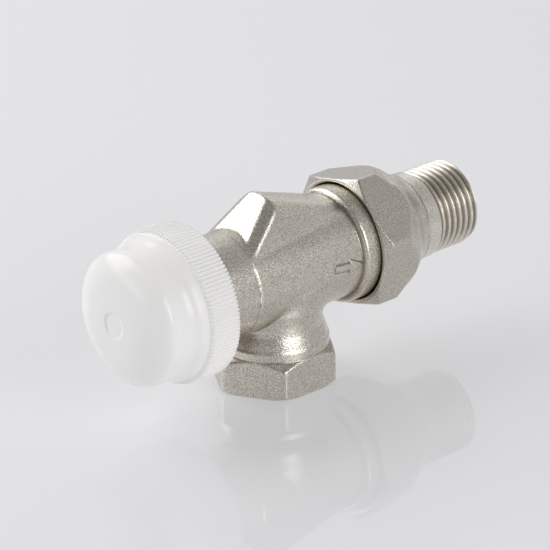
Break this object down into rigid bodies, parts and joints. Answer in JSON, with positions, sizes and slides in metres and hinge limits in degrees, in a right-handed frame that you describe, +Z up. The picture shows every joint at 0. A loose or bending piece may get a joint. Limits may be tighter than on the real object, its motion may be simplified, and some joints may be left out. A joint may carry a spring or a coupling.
{
  "type": "thermostatic radiator valve",
  "caption": "Reverse-angle thermostatic radiator valve: nickel-plated body with hexagonal female inlet, union nut and threaded tailpiece, closed by a white knurled screw-on protection cap.",
  "frame": {"origin": "centre of the inlet port on the bottom face of the inlet hexagon", "axes": "+Z up, opposite to the way the inlet opens; +Y along the main axis from the cap to the union tailpiece; +X completes the frame, on the side of the flow arrow"},
  "size_m": [0.0376, 0.1053, 0.048],
  "materials": {
    "satin_nickel": "blasted and nickel plated brass, satin",
    "brass": "turned",
    "stainless_steel": "turned",
    "black_rubber": "moulded",
    "white_plastic": "semi-gloss"
  },
  "bodies": {
    "valve": {"valve_body": "satin_nickel", "insert_body": "brass", "insert_seal": "black_rubber", "gland_nut": "brass", "gland_seal": "black_rubber", "pin_seal_front": "black_rubber", "pin_seal_rear": "black_rubber", "stem_guide": "brass", "return_spring": "stainless_steel"},
    "stem": {"pin": "stainless_steel", "pin_circlip": "stainless_steel", "inner_stem": "stainless_steel", "spring_retainer": "stainless_steel", "plug_cup": "brass", "plug_seal": "black_rubber", "plug_nut": "brass"},
    "cap": {"protection_cap": "white_plastic", "push_disc": "stainless_steel"},
    "union": {"union_seal": "black_rubber"},
    "nut": {"union_nut": "satin_nickel"},
    "tail": {"tailpiece": "satin_nickel"}
  },
  "joints": [
    {"name": "stem_slide", "type": "slide", "parent": "valve", "child": "stem", "axis": [0, 1, 0], "range_m": [0, 0.003], "deforming": ["return_spring"]},
    {"name": "cap_turn", "type": "hinge", "parent": "stem", "child": "cap", "pos_m": [0, -0.036, 0.0282], "axis": [0, 1, 0], "range_deg": [0, 719]},
    {"name": "union_slide", "type": "slide", "parent": "valve", "child": "union", "axis": [0, 1, 0], "range_m": [0, 0.0072]},
    {"name": "nut_turn", "type": "hinge", "parent": "union", "child": "nut", "pos_m": [0, 0.03, 0.0282], "axis": [0, 1, 0], "range_deg": [0, 1420]},
    {"name": "tail_swivel", "type": "hinge", "parent": "union", "child": "tail", "pos_m": [0, 0.045, 0.0282], "axis": [0, 1, 0], "continuous": true}
  ],
  "couplings": [
    {"joint": "stem_slide", "follows": "cap_turn", "m_per_rad": 0.00023873},
    {"joint": "union_slide", "follows": "nut_turn", "m_per_rad": 0.00028871}
  ]
}
